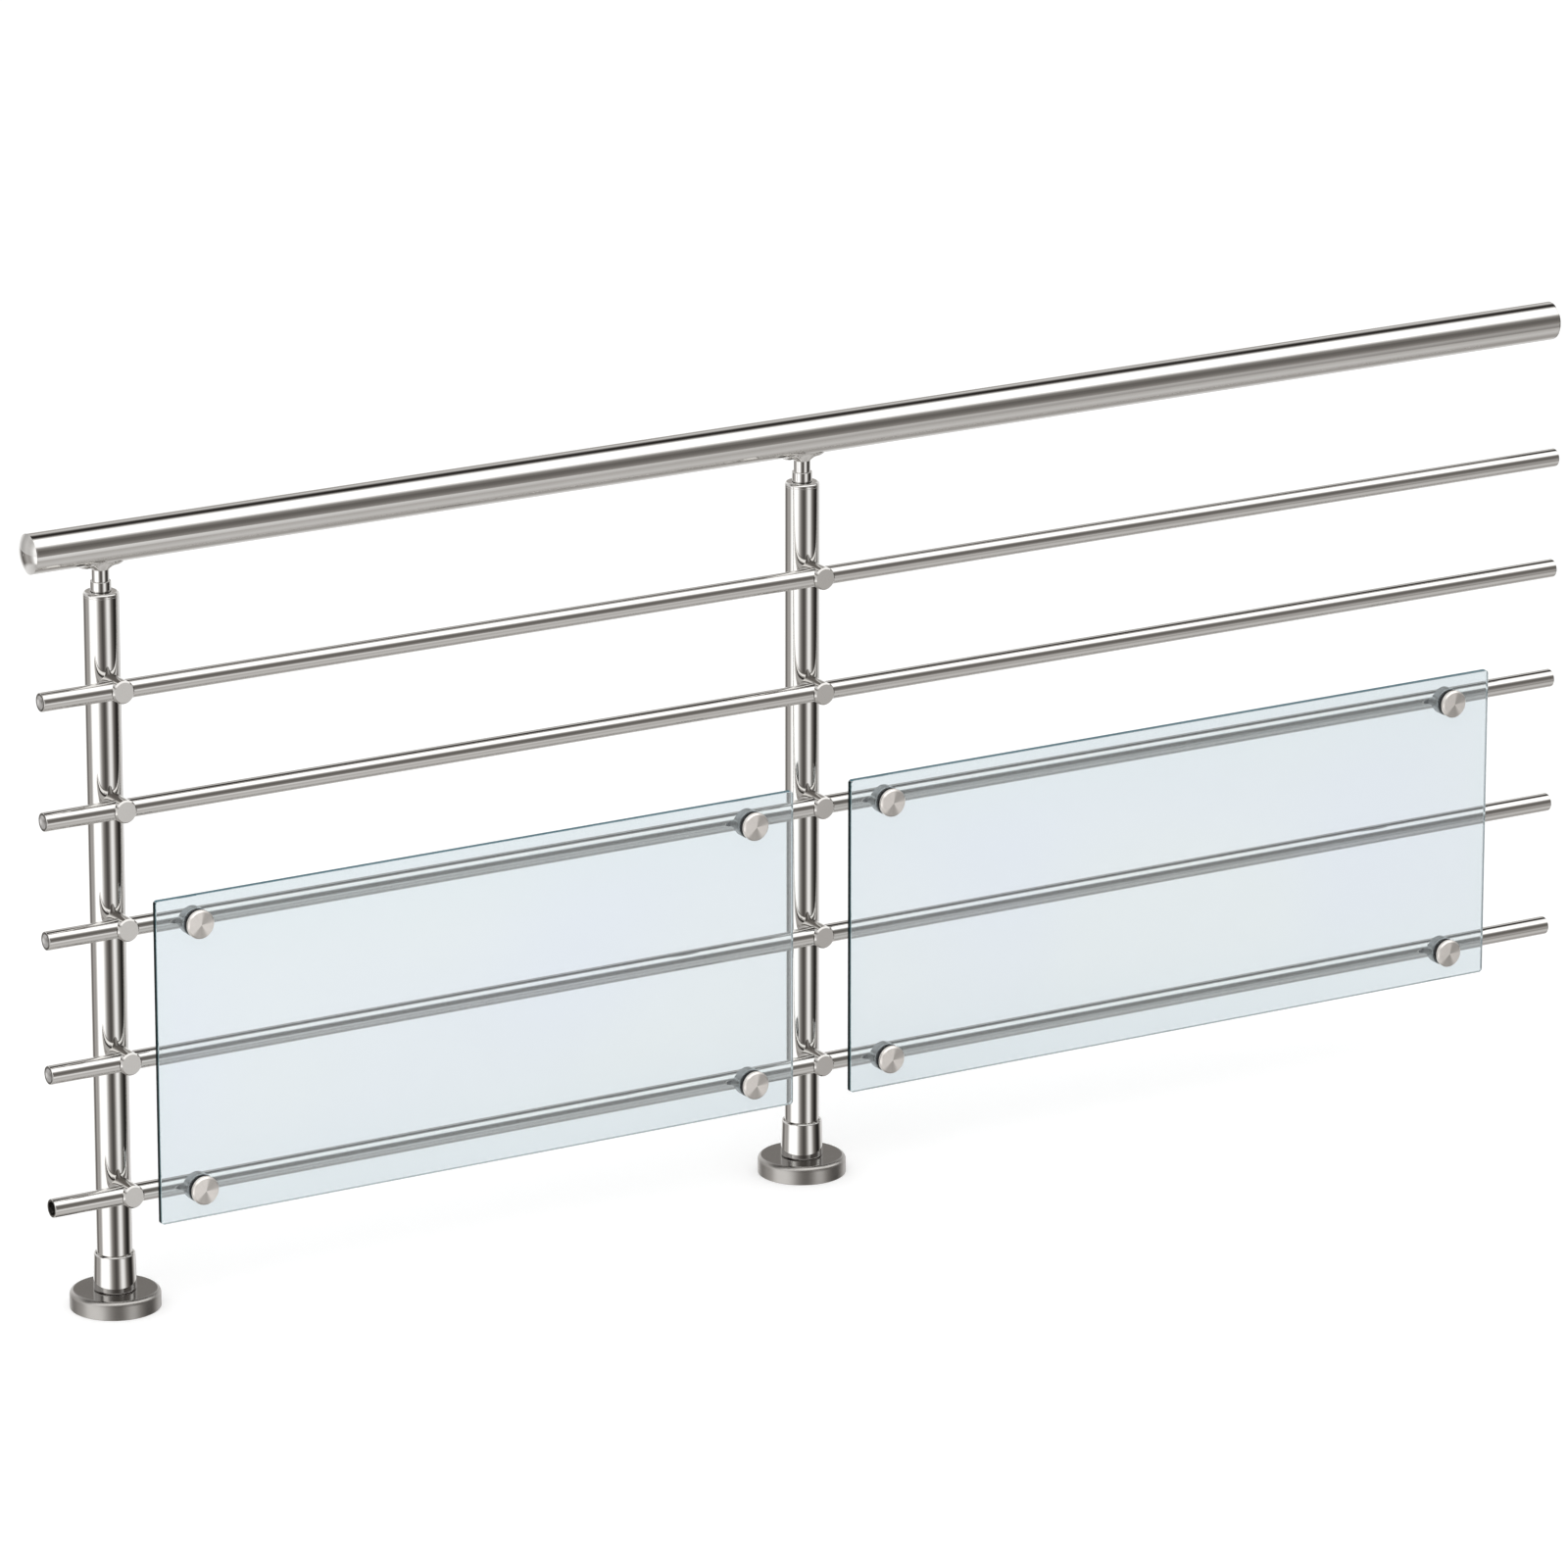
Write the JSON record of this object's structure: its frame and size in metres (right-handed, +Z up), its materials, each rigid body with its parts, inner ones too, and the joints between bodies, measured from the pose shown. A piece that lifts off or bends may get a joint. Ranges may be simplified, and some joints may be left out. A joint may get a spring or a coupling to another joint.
{
  "type": "railing section",
  "caption": "Round-tube railing section: handrail on stems, crossbars held in front of the posts and clear infill panels on round standoff fixings.",
  "frame": {"origin": "centre of the left post's foot, on the floor", "axes": "+X along the railing from the left post to the middle post, -Y towards the crossbars and panels, +Z up"},
  "size_m": [2.1585, 0.1345, 0.9642],
  "materials": {
    "polished_steel": "polished stainless steel",
    "spun_steel": "stainless steel, turned with a fine spun grain",
    "plain_steel": "stainless plate as cut, with a weld seam",
    "fastener_steel": "stainless fasteners",
    "black_rubber": "matt black rubber",
    "nylon": "natural nylon",
    "clear_panel": "clear with a pale blue-green tint, polished edges"
  },
  "bodies": {
    "root": {"handrail_tube": "polished_steel", "handrail_cap_left": "polished_steel", "handrail_cap_right": "polished_steel", "crossbar_plugs_left": "polished_steel", "crossbar_plugs_right": "polished_steel", "crossbar_1": "polished_steel", "crossbar_2": "polished_steel", "crossbar_3": "polished_steel", "crossbar_4": "polished_steel", "crossbar_5": "polished_steel", "left_holder_1": "polished_steel", "left_holder_2": "polished_steel", "left_holder_3": "polished_steel", "left_holder_4": "polished_steel", "left_holder_5": "polished_steel", "middle_holder_1": "polished_steel", "middle_holder_2": "polished_steel", "middle_holder_3": "polished_steel", "middle_holder_4": "polished_steel", "middle_holder_5": "polished_steel", "left_post_tube": "polished_steel", "left_post_cap": "polished_steel", "left_stem_collar": "polished_steel", "left_saddle_stem": "polished_steel", "left_saddle_plate": "polished_steel", "left_cover_rosette": "polished_steel", "left_foot_collar": "polished_steel", "middle_post_tube": "polished_steel", "middle_post_cap": "polished_steel", "middle_stem_collar": "polished_steel", "middle_saddle_stem": "polished_steel", "middle_saddle_plate": "polished_steel", "middle_cover_rosette": "polished_steel", "middle_foot_collar": "polished_steel", "left_panel_spacers": "spun_steel", "right_panel_spacers": "spun_steel", "left_panel_caps": "spun_steel", "right_panel_caps": "spun_steel", "left_floor_flange": "plain_steel", "middle_floor_flange": "plain_steel", "saddle_screws": "fastener_steel", "foot_collar_screws": "fastener_steel", "holder_screws": "fastener_steel", "holder_grub_screws": "fastener_steel", "panel_studs": "fastener_steel", "panel_rear_gaskets": "black_rubber", "panel_front_gaskets": "black_rubber", "panel_bushes": "nylon", "left_panel": "clear_panel", "right_panel": "clear_panel"}
  },
  "joints": []
}
